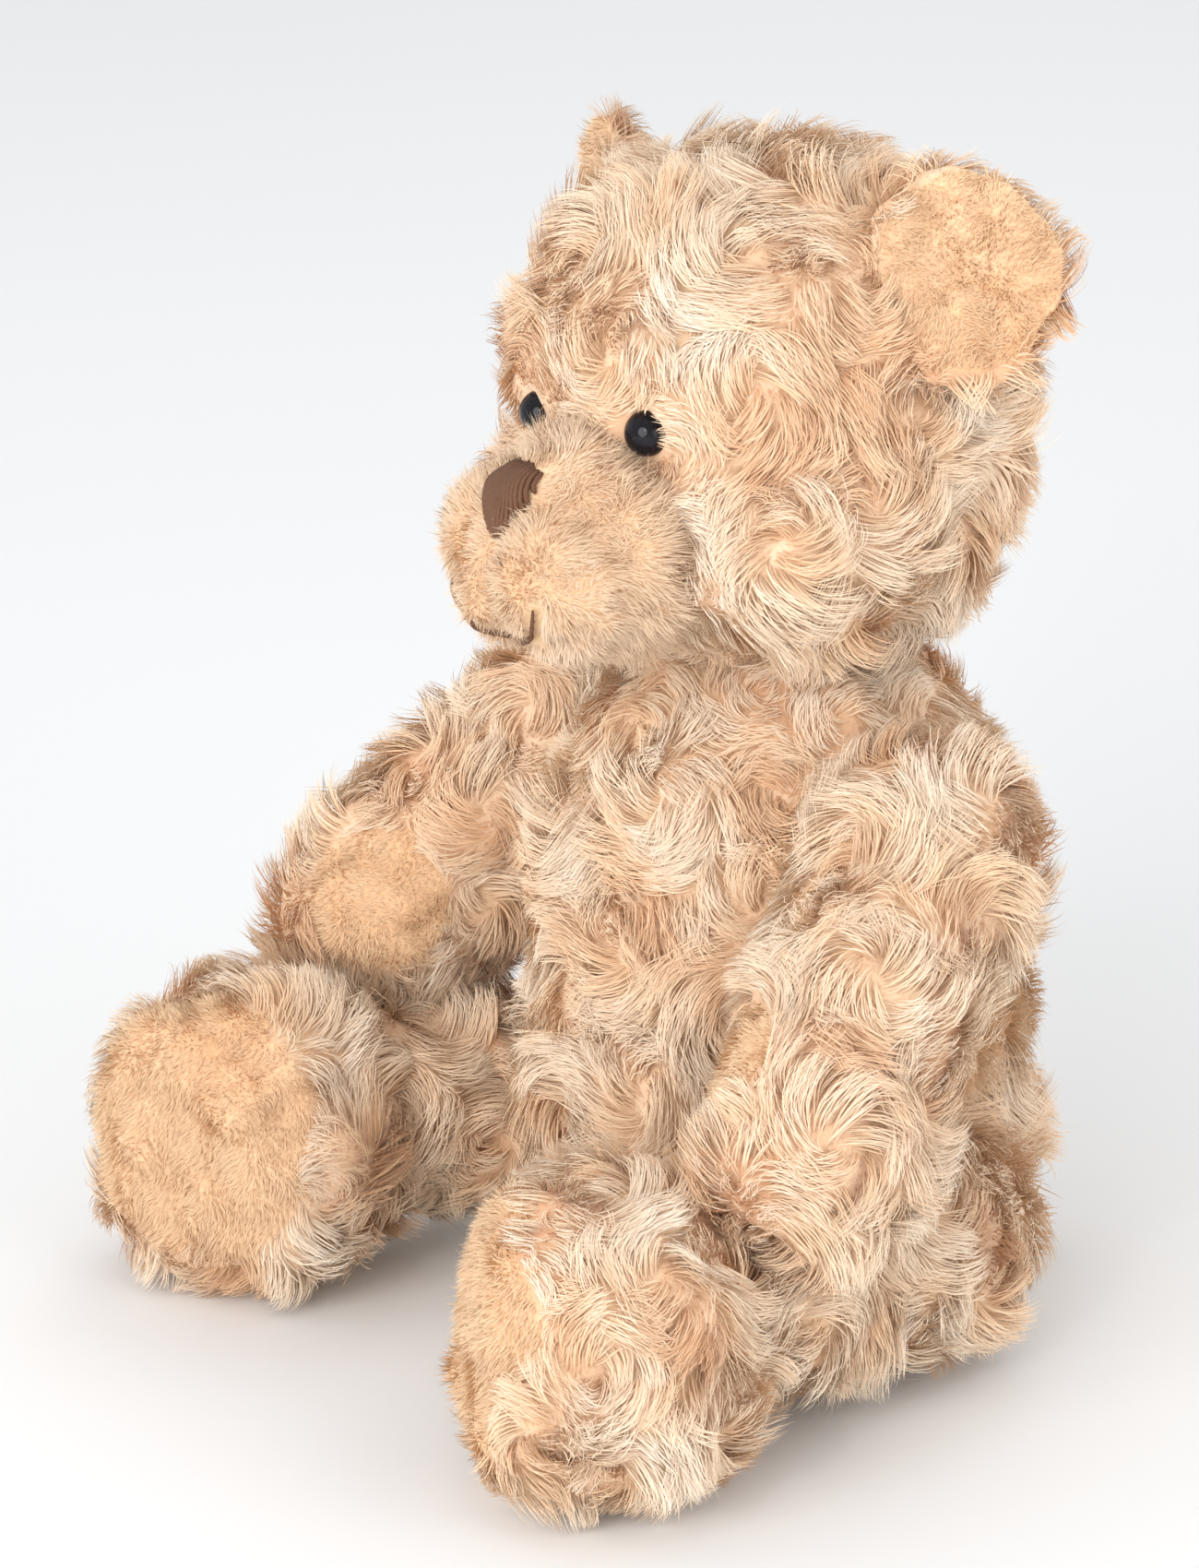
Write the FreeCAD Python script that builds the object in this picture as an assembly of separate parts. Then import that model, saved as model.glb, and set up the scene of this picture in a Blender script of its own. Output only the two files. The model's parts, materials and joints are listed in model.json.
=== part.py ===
"""Jointed plush teddy bear, sitting.

Millimetres. The bear faces -Y, its left side is +X and +Z is up. The origin is the middle of the flat
underside of the body, on the surface that it sits on. Each soft part is a plush skin over its filling, and
the head, arms and legs turn on disc joints whose stems run into the body.
"""
import FreeCAD
import Part
import math
import os

V = FreeCAD.Vector
X_AXIS = V(1, 0, 0)
Z_AXIS = V(0, 0, 1)
LEFT = 1
RIGHT = -1
SIDES = {"left": LEFT, "right": RIGHT}

# Plush
SKIN = 4.0                      # backing cloth with its pile, pressed flat
SHORT_PILE = 3.0                # muzzle, paw and sole cloth
GAP = 0.4                       # between parts that turn against each other

# Body: a pear, turned about a vertical line a little behind the origin
BODY_Y = 3.0
BODY_HEIGHT = 156.0
BODY_PROFILE = [(30, 0), (43, 9), (50, 30), (52, 58), (51, 86), (47, 116), (37, 141), (23, BODY_HEIGHT)]
SHOULDER_FLAT_X = 43.0          # the body is flattened where the arms sit against it
SHOULDER_FLAT_Z = 96.0
HIP_FLAT_X = 36.0
HIP_RECESS_R = 32.0             # the legs press this hollow into the body's sides

# Head, in its own frame: faces -Y, origin on the neck line
HEAD_TURN = 6.0                 # degrees towards the bear's left
HEAD_TILT = 5.0                 # degrees, left ear up
HEAD_CENTRE_Z = 210.0
HEAD_PROFILE = [(22, -52), (41, -41), (51, -20), (53.5, 0), (52, 18), (44, 35), (30, 46), (12, 51.5)]
HEAD_CUT_Z = BODY_HEIGHT + GAP  # flat underside of the head

# Muzzle, nose, mouth and eyes, in the head's frame
MUZZLE_CENTRE = V(0, -54, -23)
MUZZLE_R = 22.0
LOBE_R = 18.5
LOBE_SHIFT = V(8.5, 1.5, -2)
NOSE_WIDTH = 20.0
NOSE_HEIGHT = 15.0
NOSE_CENTRE_Z = -10.0
NOSE_THICK = 1.8
NOSE_CORNER_R = 3.5
THREAD_R = 0.6
THREAD_LIFT = 0.2               # the mouth thread's middle over the muzzle
MOUTH_LINE_TILT = 26.0          # degrees under straight ahead where the upright line starts
MOUTH_LINE_SWEEP = 34.0         # and the degrees of muzzle that it runs down
SMILE_TILT = 58.0
SMILE_SWEEP = 32.0
EYE_R = 5.0
EYE_X = 18.0
EYE_Z = 2.0
EYE_OUT = 52.5                  # the dome's middle from the head's middle line, just under the plush
EYE_STALK_R = 1.6
EYE_STALK_LENGTH = 12.0
EYE_WASHER_R = 6.5
EYE_WASHER_THICK = 1.5

# Ears, in the head's frame
EAR_R = 21.5
EAR_HALF_THICK = 5.5
EAR_LINING = 3.2
EAR_CENTRE = V(57, 9, 31)
EAR_TURN = 30.0                 # degrees that an ear looks outwards from straight ahead
EAR_LOOK_UP = 0.12              # rise of its facing for each unit forwards
EAR_EDGE = 84.0                 # degrees of its rounded edge on each side of the rim
EAR_STEPS = 6

# Arms
SHOULDER = V(62, -2, 122)
PAW_CENTRE = V(87, -48, 72)
SHOULDER_R = 23.0
FOREARM_R = 21.5
PAW_R = 22.5
PAW_PAD_R = 15.0
PAW_PAD_FACING = V(-0.72, -0.42, 0.55)   # left paw

# Legs
HIP = V(52, 7, 30)
FOOT_CENTRE = V(72, -89, 34.5)
THIGH_R = 22.5
SHIN_R = 20.0
FOOT_PROFILE = [(12, -27), (26, -20), (33, -6), (34, 8), (32, 18), (27, 24), (14, 28)]
FOOT_TOE_IN = 24.0              # degrees that a sole looks towards the other foot
SOLE_PAD_R = 27.0
SOLE_PAD_FROM = 12.0            # the pad's rim lies this far in front of the foot's middle
SOLE_PAD_RAISE = 3.0            # and its middle this far over it
ANKLE_BACK = 8.0                # the ankle lies this far behind the foot's middle
LIMB_END = 0.96                 # a limb's tube where it meets its end ball, to the ball's radius

# Tail
TAIL_CENTRE = V(0, 60, 27)
TAIL_R = 12.0

# Disc joints
STEM_R = 3.0
RUNNING = 0.05                  # radial clearance of a washer on a turning stem
EYELET = 0.5                    # radial clearance of a stem in the plush
DISC_THICK = 2.5
WASHER_R = 7.0
WASHER_THICK = 1.0
LOCK_R = 6.0
LOCK_THICK = 1.5
PLAY = 0.2                      # between neighbours on a stem
STEM_TIP = 1.5                  # the stem's end beyond its locking washer
NECK_DISC_R = 17.0
SHOULDER_DISC_R = 11.5
HIP_DISC_R = 14.0

# Pellet bag and seam
BAG_CENTRE = V(0, 1, 30)
BAG_R = 20.0
BAG_CLOTH = 0.8
SEAM_FROM_Z = 72.0
SEAM_TO_Z = 112.0
SEAM_STITCHES = 9
STITCH_LENGTH = 5.0
STITCH_R = 0.7
STITCH_RISE = 0.15              # up for each unit across

FAR = 400.0                     # longer than any part

parts = {}


# ---- shapes -------------------------------------------------------------------------------------------

def turned(profile, inset=0.0):
    """A solid turned about Z from (radius, height) points, or the same solid set in by inset all round."""
    low = profile[0][1]
    high = profile[-1][1]
    squeeze = (high - low - 2 * inset) / (high - low)
    middle = (high + low) / 2
    points = [V(r - inset, 0, middle + (z - middle) * squeeze) for r, z in profile]
    side = Part.BSplineCurve()
    side.interpolate(points)
    bottom = V(0, 0, points[0].z)
    top = V(0, 0, points[-1].z)
    edges = [
        Part.LineSegment(bottom, points[0]).toShape(),
        side.toShape(),
        Part.LineSegment(points[-1], top).toShape(),
        Part.LineSegment(top, bottom).toShape(),
    ]
    return Part.Face(Part.Wire(edges)).revolve(V(0, 0, 0), Z_AXIS, 360)


def aim(shape, at, towards):
    """The shape with its +Z turned to point towards, and its origin moved to at."""
    copy = shape.copy()
    copy.Placement = FreeCAD.Placement(at, FreeCAD.Rotation(Z_AXIS, towards))
    return copy


def limb(start, end, start_r, middle_r, end_r, inset):
    """A rounded tube from start to end: a ball at each end and a waisted tube between them."""
    along = end - start
    length = along.Length
    waist = [(start_r * LIMB_END, 0), (middle_r, length / 2), (end_r * LIMB_END, length)]
    points = [V(r - inset, 0, z) for r, z in waist]
    side = Part.BSplineCurve()
    side.interpolate(points)
    edges = [
        Part.LineSegment(V(0, 0, 0), points[0]).toShape(),
        side.toShape(),
        Part.LineSegment(points[-1], V(0, 0, length)).toShape(),
        Part.LineSegment(V(0, 0, length), V(0, 0, 0)).toShape(),
    ]
    tube = Part.Face(Part.Wire(edges)).revolve(V(0, 0, 0), Z_AXIS, 360)
    start_ball = Part.makeSphere(start_r - inset, start)
    end_ball = Part.makeSphere(end_r - inset, end)
    return aim(tube, start, along).fuse([start_ball, end_ball])


def rod(radius, start, towards, length):
    return Part.makeCylinder(radius, length, start, towards)


def ring(outer, inner, start, towards, length):
    return rod(outer, start, towards, length).cut(rod(inner, start, towards, length))


def half_space(side, x):
    """Everything on the bear's outer side of the plane at x."""
    corner = V(x, -FAR / 2, -FAR / 2) if side > 0 else V(-x - FAR, -FAR / 2, -FAR / 2)
    return Part.makeBox(FAR, FAR, FAR, corner)


def on_side(point, side):
    return V(point.x * side, point.y, point.z)


def keep(name, shape):
    """Stores a node as one clean solid, or as a group of separate ones."""
    solids = shape.Solids
    parts[name] = solids[0] if len(solids) == 1 else Part.makeCompound(solids)


# ---- disc joints --------------------------------------------------------------------------------------

def disc_joint(joint, at, into, disc_r):
    """The four pieces of a joint. at is on its axis where the limb meets the body, and into points into
    the body. Returns the stem's way through the plush, the room for the limb's disc and the room for what
    sits in the body."""
    limb_disc_at = at - into * (SKIN + PLAY + DISC_THICK)
    fixed_disc_at = at + into * (GAP + SKIN + PLAY)
    washer_at = fixed_disc_at + into * (DISC_THICK + PLAY)
    lock_at = washer_at + into * (WASHER_THICK + PLAY)
    stem_length = (lock_at - limb_disc_at).Length + LOCK_THICK + STEM_TIP

    disc = rod(disc_r, limb_disc_at, into, DISC_THICK)
    keep(joint + "_stem_disc", disc.fuse(rod(STEM_R, limb_disc_at, into, stem_length)))
    bore = STEM_R + RUNNING
    keep(joint + "_fixed_disc", ring(disc_r, bore, fixed_disc_at, into, DISC_THICK))
    keep(joint + "_plain_washer", ring(WASHER_R, bore, washer_at, into, WASHER_THICK))
    keep(joint + "_locking_washer", ring(LOCK_R, STEM_R, lock_at, into, LOCK_THICK))

    eyelet = rod(STEM_R + EYELET, limb_disc_at, into, stem_length + PLAY)
    limb_room = rod(disc_r + PLAY, limb_disc_at - into * PLAY, into, DISC_THICK + 2 * PLAY)
    body_room = rod(disc_r + PLAY, fixed_disc_at - into * PLAY, into, DISC_THICK + 2 * PLAY)
    washer_room = rod(WASHER_R + PLAY, washer_at - into * PLAY, into, stem_length / 2)
    return eyelet, limb_room, body_room.fuse(washer_room)


# ---- body ---------------------------------------------------------------------------------------------

def body_shape(inset):
    shape = turned(BODY_PROFILE, inset)
    shape.translate(V(0, BODY_Y, 0))
    for side in SIDES.values():
        flat = half_space(side, SHOULDER_FLAT_X - inset)
        above = Part.makeBox(FAR, FAR, FAR, V(-FAR / 2, -FAR / 2, SHOULDER_FLAT_Z + inset))
        shape = shape.cut(flat.common(above))
        recess = half_space(side, HIP_FLAT_X - inset)
        hip_round = rod(HIP_RECESS_R + inset, V(-FAR / 2, HIP.y, HIP.z), X_AXIS, FAR)
        leg_way_top = HIP.z + HIP_RECESS_R + inset
        leg_way = Part.makeBox(FAR, FAR, leg_way_top, V(-FAR / 2, HIP.y - FAR, 0))
        under = Part.makeBox(FAR, FAR, HIP.z, V(-FAR / 2, -FAR / 2, -inset))
        shape = shape.cut(recess.common(hip_round.fuse([leg_way, under])))
    return shape


def make_body(joint_rooms, eyelets):
    outer = body_shape(0.0)
    inner = body_shape(SKIN)
    tail = Part.makeSphere(TAIL_R, TAIL_CENTRE).cut(outer)
    tail_core = Part.makeSphere(TAIL_R - SKIN, TAIL_CENTRE).cut(outer)
    bag = Part.makeSphere(BAG_R, BAG_CENTRE)
    pellets = Part.makeSphere(BAG_R - BAG_CLOTH, BAG_CENTRE)
    keep("body_plush_skin", outer.cut(inner).cut(joint_rooms).cut(eyelets))
    keep("body_filling", inner.cut(bag).cut(joint_rooms).cut(eyelets))
    keep("pellet_bag", bag.cut(pellets))
    keep("pellets", pellets)
    keep("tail_plush_skin", tail.cut(tail_core))
    keep("tail_filling", tail_core)
    keep("back_closing_seam", closing_seam())


def body_radius(height):
    """The body's radius at a height, between the profile's points."""
    for (r_low, z_low), (r_high, z_high) in zip(BODY_PROFILE, BODY_PROFILE[1:]):
        if z_low <= height <= z_high:
            return r_low + (r_high - r_low) * (height - z_low) / (z_high - z_low)
    raise ValueError("that height is not on the body")


def closing_seam():
    """Hand stitches across the seam in the middle of the back, sunk half their thickness in the plush."""
    stitches = []
    for i in range(SEAM_STITCHES):
        z = SEAM_FROM_Z + (SEAM_TO_Z - SEAM_FROM_Z) * i / (SEAM_STITCHES - 1)
        start = V(-STITCH_LENGTH / 2, BODY_Y + body_radius(z), z)
        stitches.append(rod(STITCH_R, start, V(1, 0, STITCH_RISE), STITCH_LENGTH))
    return Part.makeCompound(stitches)


# ---- head ---------------------------------------------------------------------------------------------

HEAD_PLACE = FreeCAD.Placement(V(0, 0, HEAD_CENTRE_Z), FreeCAD.Rotation(Z_AXIS, HEAD_TURN)) * \
    FreeCAD.Placement(V(0, 0, 0), FreeCAD.Rotation(V(0, 1, 0), -HEAD_TILT))


def to_head(shape):
    copy = shape.copy()
    copy.transformShape(HEAD_PLACE.toMatrix(), True)
    return copy


def head_shape(inset):
    below = Part.makeBox(FAR, FAR, FAR, V(-FAR / 2, -FAR / 2, HEAD_CUT_Z + inset - FAR))
    return to_head(turned(HEAD_PROFILE, inset)).cut(below)


def muzzle_shape(inset):
    lobes = [Part.makeSphere(LOBE_R - inset, MUZZLE_CENTRE + on_side(LOBE_SHIFT, s)) for s in SIDES.values()]
    return to_head(Part.makeSphere(MUZZLE_R - inset, MUZZLE_CENTRE).fuse(lobes))


def nose_shape():
    """A downward triangle with rounded corners, wrapped over the muzzle."""
    half = NOSE_WIDTH / 2 - NOSE_CORNER_R
    top = NOSE_CENTRE_Z + NOSE_HEIGHT / 2 - NOSE_CORNER_R
    bottom = NOSE_CENTRE_Z - NOSE_HEIGHT / 2 + NOSE_CORNER_R
    front = MUZZLE_CENTRE.y - MUZZLE_R - NOSE_THICK
    corners = [V(-half, front, top), V(half, front, top), V(0, front, bottom)]
    posts = [rod(NOSE_CORNER_R, c, V(0, 1, 0), MUZZLE_R) for c in corners]
    outline = Part.makePolygon(corners + corners[:1])
    prism = Part.Face(outline).extrude(V(0, MUZZLE_R, 0))
    for a, b in ((0, 1), (1, 2), (2, 0)):
        along = corners[b] - corners[a]
        out = along.cross(V(0, 1, 0)).normalize() * NOSE_CORNER_R
        rim = Part.makePolygon([corners[a] - out, corners[b] - out, corners[b] + out, corners[a] + out,
                                corners[a] - out])
        prism = prism.fuse(Part.Face(rim).extrude(V(0, MUZZLE_R, 0)))
    raised = Part.makeSphere(MUZZLE_R + NOSE_THICK, MUZZLE_CENTRE)
    return to_head(prism.fuse(posts).common(raised))


def mouth_thread(tilt, turn, length):
    """A thread over the muzzle, sunk half its thickness: it starts tilt degrees under straight ahead, runs
    length degrees along the muzzle, and turn is its direction."""
    arc = Part.makeTorus(MUZZLE_R + THREAD_LIFT, THREAD_R, V(0, 0, 0), Z_AXIS, 0, 360, length)
    arc.rotate(V(0, 0, 0), Z_AXIS, -90)
    arc.rotate(V(0, 0, 0), V(0, 1, 0), turn)
    arc.rotate(V(0, 0, 0), X_AXIS, tilt)
    arc.translate(MUZZLE_CENTRE)
    return to_head(arc)


def make_eye(name, side):
    """A domed eye on a stalk with its washer. Returns the room that it needs."""
    inward = V(-EYE_X * side, math.sqrt(EYE_OUT ** 2 - EYE_X ** 2), 0).normalize()
    middle = V(0, 0, EYE_Z) - inward * EYE_OUT
    back = rod(EYE_R * 2, middle + inward, inward, EYE_R)
    dome = Part.makeSphere(EYE_R, middle).cut(back)
    stalk = rod(EYE_STALK_R, middle, inward, EYE_STALK_LENGTH)
    washer_at = middle + inward * (SKIN + PLAY)
    keep(name + "_eye", to_head(dome.fuse(stalk)))
    keep(name + "_eye_washer", to_head(ring(EYE_WASHER_R, EYE_STALK_R, washer_at, inward, EYE_WASHER_THICK)))
    socket = rod(EYE_R + PLAY, middle - inward * EYE_R, inward, EYE_R + 1 + PLAY)
    bore = rod(EYE_STALK_R + PLAY, middle, inward, EYE_STALK_LENGTH + PLAY)
    room = rod(EYE_WASHER_R + PLAY, washer_at - inward * PLAY, inward, EYE_WASHER_THICK + 2 * PLAY)
    return to_head(socket.fuse(bore)), to_head(room)


def make_ear(name, side, head):
    """A rounded flap with a plush back and a short-pile lining that looks forwards and outwards."""
    profile = []
    for i in range(EAR_STEPS + 1):
        angle = math.radians(EAR_EDGE * (2 * i / EAR_STEPS - 1))
        profile.append((EAR_R * math.cos(angle), EAR_HALF_THICK * math.sin(angle)))
    facing = V(side * math.sin(math.radians(EAR_TURN)), -math.cos(math.radians(EAR_TURN)), EAR_LOOK_UP)
    centre = on_side(EAR_CENTRE, side)
    flap = to_head(aim(turned(profile), centre, facing)).cut(head)
    front = to_head(aim(rod(EAR_R - EAR_LINING, V(0, 0, 0), Z_AXIS, EAR_HALF_THICK), centre, facing))
    keep(name + "_ear_lining", flap.common(front))
    keep(name + "_ear_plush", flap.cut(front))


def make_head(joint_room, eyelet):
    outer = head_shape(0.0)
    inner = head_shape(SKIN)
    skin = outer.cut(inner).cut(joint_room).cut(eyelet)
    filling = inner.cut(joint_room).cut(eyelet)
    for name, side in SIDES.items():
        socket, room = make_eye(name, side)
        skin = skin.cut(socket)
        filling = filling.cut(socket).cut(room)
        make_ear(name, side, outer)
    muzzle = muzzle_shape(0.0).cut(outer)
    muzzle_core = muzzle_shape(SHORT_PILE).cut(outer)
    keep("head_plush_skin", skin)
    keep("head_filling", filling)
    keep("muzzle_skin", muzzle.cut(muzzle_core))
    keep("muzzle_filling", muzzle_core)
    nose = nose_shape().cut(muzzle)
    keep("nose_embroidery", nose)
    centre_line = mouth_thread(MOUTH_LINE_TILT, 90, MOUTH_LINE_SWEEP)
    smile = [mouth_thread(SMILE_TILT, turn, SMILE_SWEEP) for turn in (0, 180)]
    keep("mouth_embroidery", Part.makeCompound([centre_line] + smile))


# ---- arms and legs ------------------------------------------------------------------------------------

def arm_shape(side, inset):
    shape = limb(on_side(SHOULDER, side), on_side(PAW_CENTRE, side), SHOULDER_R, FOREARM_R, PAW_R, inset)
    return shape.common(half_space(side, SHOULDER_FLAT_X + GAP + inset))


def make_arm(name, side):
    outer = arm_shape(side, 0.0)
    inner = arm_shape(side, SKIN)
    at = V(side * (SHOULDER_FLAT_X + GAP), SHOULDER.y, SHOULDER.z)
    rooms = disc_joint(name + "_shoulder", at, V(-side, 0, 0), SHOULDER_DISC_R)
    eyelet, arm_room, body_room = rooms
    pad_column = rod(PAW_PAD_R, on_side(PAW_CENTRE, side), on_side(PAW_PAD_FACING, side), 2 * PAW_R)
    skin = outer.cut(inner).cut(arm_room).cut(eyelet)
    keep(name + "_arm_plush_skin", skin.cut(pad_column))
    keep(name + "_paw_pad", skin.common(pad_column))
    keep(name + "_arm_filling", inner.cut(arm_room).cut(eyelet))
    return eyelet, body_room


def leg_shape(side, inset):
    toe = math.radians(FOOT_TOE_IN)
    sole_facing = V(-side * math.sin(toe), -math.cos(toe), 0)
    ankle = on_side(FOOT_CENTRE, side) - sole_facing * ANKLE_BACK
    thigh = limb(on_side(HIP, side), ankle, THIGH_R, SHIN_R, SHIN_R, inset)
    foot = aim(turned(FOOT_PROFILE, inset), on_side(FOOT_CENTRE, side), sole_facing)
    return thigh.fuse(foot).common(half_space(side, HIP_FLAT_X + GAP + inset)), sole_facing


def make_leg(name, side):
    outer, sole_facing = leg_shape(side, 0.0)
    inner, _ = leg_shape(side, SKIN)
    at = V(side * (HIP_FLAT_X + GAP), HIP.y, HIP.z)
    rooms = disc_joint(name + "_hip", at, V(-side, 0, 0), HIP_DISC_R)
    eyelet, leg_room, body_room = rooms
    rim = on_side(FOOT_CENTRE, side) + sole_facing * SOLE_PAD_FROM + Z_AXIS * SOLE_PAD_RAISE
    pad_column = rod(SOLE_PAD_R, rim, sole_facing, 2 * SOLE_PAD_R)
    skin = outer.cut(inner).cut(leg_room).cut(eyelet)
    keep(name + "_leg_plush_skin", skin.cut(pad_column))
    keep(name + "_sole_pad", skin.common(pad_column))
    keep(name + "_leg_filling", inner.cut(leg_room).cut(eyelet))
    return eyelet, body_room


# ---- assembly -----------------------------------------------------------------------------------------

body_rooms = []
body_eyelets = []
for side_name, side_sign in SIDES.items():
    for make in (make_arm, make_leg):
        stem_way, disc_way = make(side_name, side_sign)
        body_eyelets.append(stem_way)
        body_rooms.append(disc_way)

neck_at = V(0, 0, HEAD_CUT_Z)
neck_eyelet, neck_head_room, neck_body_room = disc_joint("neck", neck_at, V(0, 0, -1), NECK_DISC_R)
make_head(neck_head_room, neck_eyelet)
make_body(body_rooms + [neck_body_room], body_eyelets + [neck_eyelet])

os.makedirs("parts", exist_ok=True)
for node, solid in parts.items():
    solid.exportStep("parts/" + node + ".step")
    box = solid.BoundBox
    print(f"{node:28} {len(solid.Solids):2} solids  {solid.Volume / 1000:9.2f} cm3  valid {solid.isValid()}"
          f"  z {box.ZMin:7.2f} to {box.ZMax:7.2f}")
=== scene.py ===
import json
import math

import bmesh
import bpy
import numpy as np
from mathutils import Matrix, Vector, kdtree
from mathutils.bvhtree import BVHTree

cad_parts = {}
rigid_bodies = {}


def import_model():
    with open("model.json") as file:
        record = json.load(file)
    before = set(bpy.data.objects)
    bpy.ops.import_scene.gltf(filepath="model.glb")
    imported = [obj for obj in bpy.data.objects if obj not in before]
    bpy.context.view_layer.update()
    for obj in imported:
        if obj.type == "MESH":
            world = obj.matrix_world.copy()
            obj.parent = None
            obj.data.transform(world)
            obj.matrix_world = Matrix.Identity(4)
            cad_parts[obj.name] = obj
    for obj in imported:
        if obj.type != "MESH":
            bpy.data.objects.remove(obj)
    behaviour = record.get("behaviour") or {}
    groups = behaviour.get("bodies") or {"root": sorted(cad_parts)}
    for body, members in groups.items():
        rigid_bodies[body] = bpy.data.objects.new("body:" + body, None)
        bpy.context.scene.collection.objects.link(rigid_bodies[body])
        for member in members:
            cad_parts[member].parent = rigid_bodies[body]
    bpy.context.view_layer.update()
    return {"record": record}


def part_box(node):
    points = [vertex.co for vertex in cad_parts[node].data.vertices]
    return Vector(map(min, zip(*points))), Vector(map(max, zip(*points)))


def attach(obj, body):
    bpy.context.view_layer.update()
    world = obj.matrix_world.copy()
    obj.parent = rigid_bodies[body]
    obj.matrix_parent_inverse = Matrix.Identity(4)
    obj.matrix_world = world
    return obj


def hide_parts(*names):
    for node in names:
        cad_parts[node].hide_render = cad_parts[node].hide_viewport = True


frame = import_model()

SEED = 7

# Long curly pile, in metres
PILE_LENGTH = 0.0118
PILE_WIDTH = 0.00030
PILE_PER_M2 = 1.45e6            # strands on a square metre
SECTIONS = 5                    # points along a strand
LOCK_SPACING = 0.0052
SWIRL_SPACING = 0.020           # between the middles of whorls
WHORL_SHADE_REACH = 0.0045             # how far the darker middle of a whorl reaches: deeper root colour there, with painted shade of the parting
MOST_STRANDS = 28000            # in one piece

# Short velour pile, in metres
SHORT_LENGTH = 0.0028
SHORT_WIDTH = 0.00024
SHORT_PER_M2 = 4.6e6
SHORT_SECTIONS = 3

# Padded forms, in metres
FLOOR_CLEAR = 0.0003
LUMP_HEIGHT = 0.0010
LUMP_FINE_HEIGHT = 0.0005
PAW_RADIUS = 0.0165
PAW_DEPTH = 0.010
SOLE_RADIUS = 0.0290
SOLE_DEPTH = 0.012
BASE_HEIGHT = 0.004             # below this, skin that faces down has no pile
EYE_RADIUS = 0.0050
EAR_REACH = 0.022
EAR_CUP = 0.0065                # how far the rim stands in front of the middle
EAR_DISH = 0.0015
EAR_LIFT = 0.0030
EAR_TALLER = 0.13
EAR_WIDER = 0.05
EAR_LINING_RADIUS = 0.0186
NOSE_HALF_WIDTH = 0.0084
NOSE_TOP = 0.0064
NOSE_BOTTOM = -0.0080
NOSE_STITCHES = 20
NOSE_THREAD = 0.00056
MOUTH_THREAD = 0.00042

scene = bpy.context.scene
root_collection = scene.collection


# ---- where things are, from the frame ------------------------------------------------------------------

def middle(node):
    low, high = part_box(node)
    return np.array([(a + b) / 2 for a, b in zip(low, high)])


def node_points(*names):
    """The corners of the CAD nodes' meshes."""
    found = []
    for name in names:
        mesh = bpy.data.objects[name].data
        points = np.empty(len(mesh.vertices) * 3)
        mesh.vertices.foreach_get("co", points)
        found.append(points.reshape(-1, 3))
    return np.concatenate(found)


def unit(v):
    v = np.asarray(v, float)
    return v / np.maximum(np.linalg.norm(v, axis=-1, keepdims=True), 1e-9)


def flat_facing(node):
    """The middle of a node's points and their thinnest direction."""
    points = node_points(node)
    centre = points.mean(0)
    _, _, axes = np.linalg.svd(points - centre, full_matrices=False)
    return centre, axes[2]


# ---- smooth noise ---------------------------------------------------------------------------------------

def waves(seed, size, count=14):
    """A smooth random field of about that grain, as a function of points."""
    rng = np.random.default_rng(seed)
    ways = unit(rng.normal(size=(count, 3))) * (2 * math.pi / size) * rng.uniform(0.6, 1.5, (count, 1))
    phases = rng.uniform(0, 2 * math.pi, count)

    def field(points):
        return np.sin(points @ ways.T + phases).sum(1) / math.sqrt(count / 2)
    return field


MOTTLE = waves(11, 0.034)
MOTTLE_FINE = waves(12, 0.013)
LUMPS = waves(13, 0.024)
LUMPS_FINE = waves(14, 0.011)


# ---- materials ------------------------------------------------------------------------------------------

def new_material(name):
    material = bpy.data.materials.new(name)
    material.use_nodes = True
    nodes = material.node_tree.nodes
    return material, nodes, material.node_tree.links, nodes["Principled BSDF"]


def ramp(nodes, links, stops, fac):
    node = nodes.new("ShaderNodeValToRGB")
    elements = node.color_ramp.elements
    while len(elements) < len(stops):
        elements.new(0.5)
    for element, (place, colour) in zip(elements, stops):
        element.position = place
        element.color = (*colour, 1)
    links.new(fac, node.inputs["Fac"])
    return node.outputs["Color"]


def noise(nodes, links, scale, detail=2.0):
    """Noise fixed to the object, by its own coordinates."""
    place = nodes.new("ShaderNodeTexCoord")
    node = nodes.new("ShaderNodeTexNoise")
    node.inputs["Scale"].default_value = scale
    node.inputs["Detail"].default_value = detail
    links.new(place.outputs["Object"], node.inputs["Vector"])
    return node.outputs["Fac"]


def mixed(nodes, links, kind, fac, a, b):
    node = nodes.new("ShaderNodeMix")
    node.data_type = "RGBA"
    node.blend_type = kind
    node.inputs["Factor"].default_value = fac
    links.new(a, node.inputs["A"])
    links.new(b, node.inputs["B"])
    return node.outputs["Result"]


def pile_material(name, shades, along):
    """Fibre colour from the strand's own shade (u) and the place along it (v)."""
    material, nodes, links, shader = new_material(name)
    uv = nodes.new("ShaderNodeUVMap")
    uv.uv_map = "OFBake"
    split = nodes.new("ShaderNodeSeparateXYZ")
    links.new(uv.outputs["UV"], split.inputs["Vector"])
    shade = ramp(nodes, links, shades, split.outputs["X"])
    shadow = ramp(nodes, links, along, split.outputs["Y"])
    links.new(mixed(nodes, links, "MULTIPLY", 1.0, shade, shadow), shader.inputs["Base Color"])
    shader.inputs["Roughness"].default_value = 0.62
    shader.inputs["Specular IOR Level"].default_value = 0.28
    shader.inputs["Sheen Weight"].default_value = 0.2
    shader.inputs["Sheen Roughness"].default_value = 0.45
    shader.inputs["Sheen Tint"].default_value = (1.0, 0.93, 0.84, 1)
    return material


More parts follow.
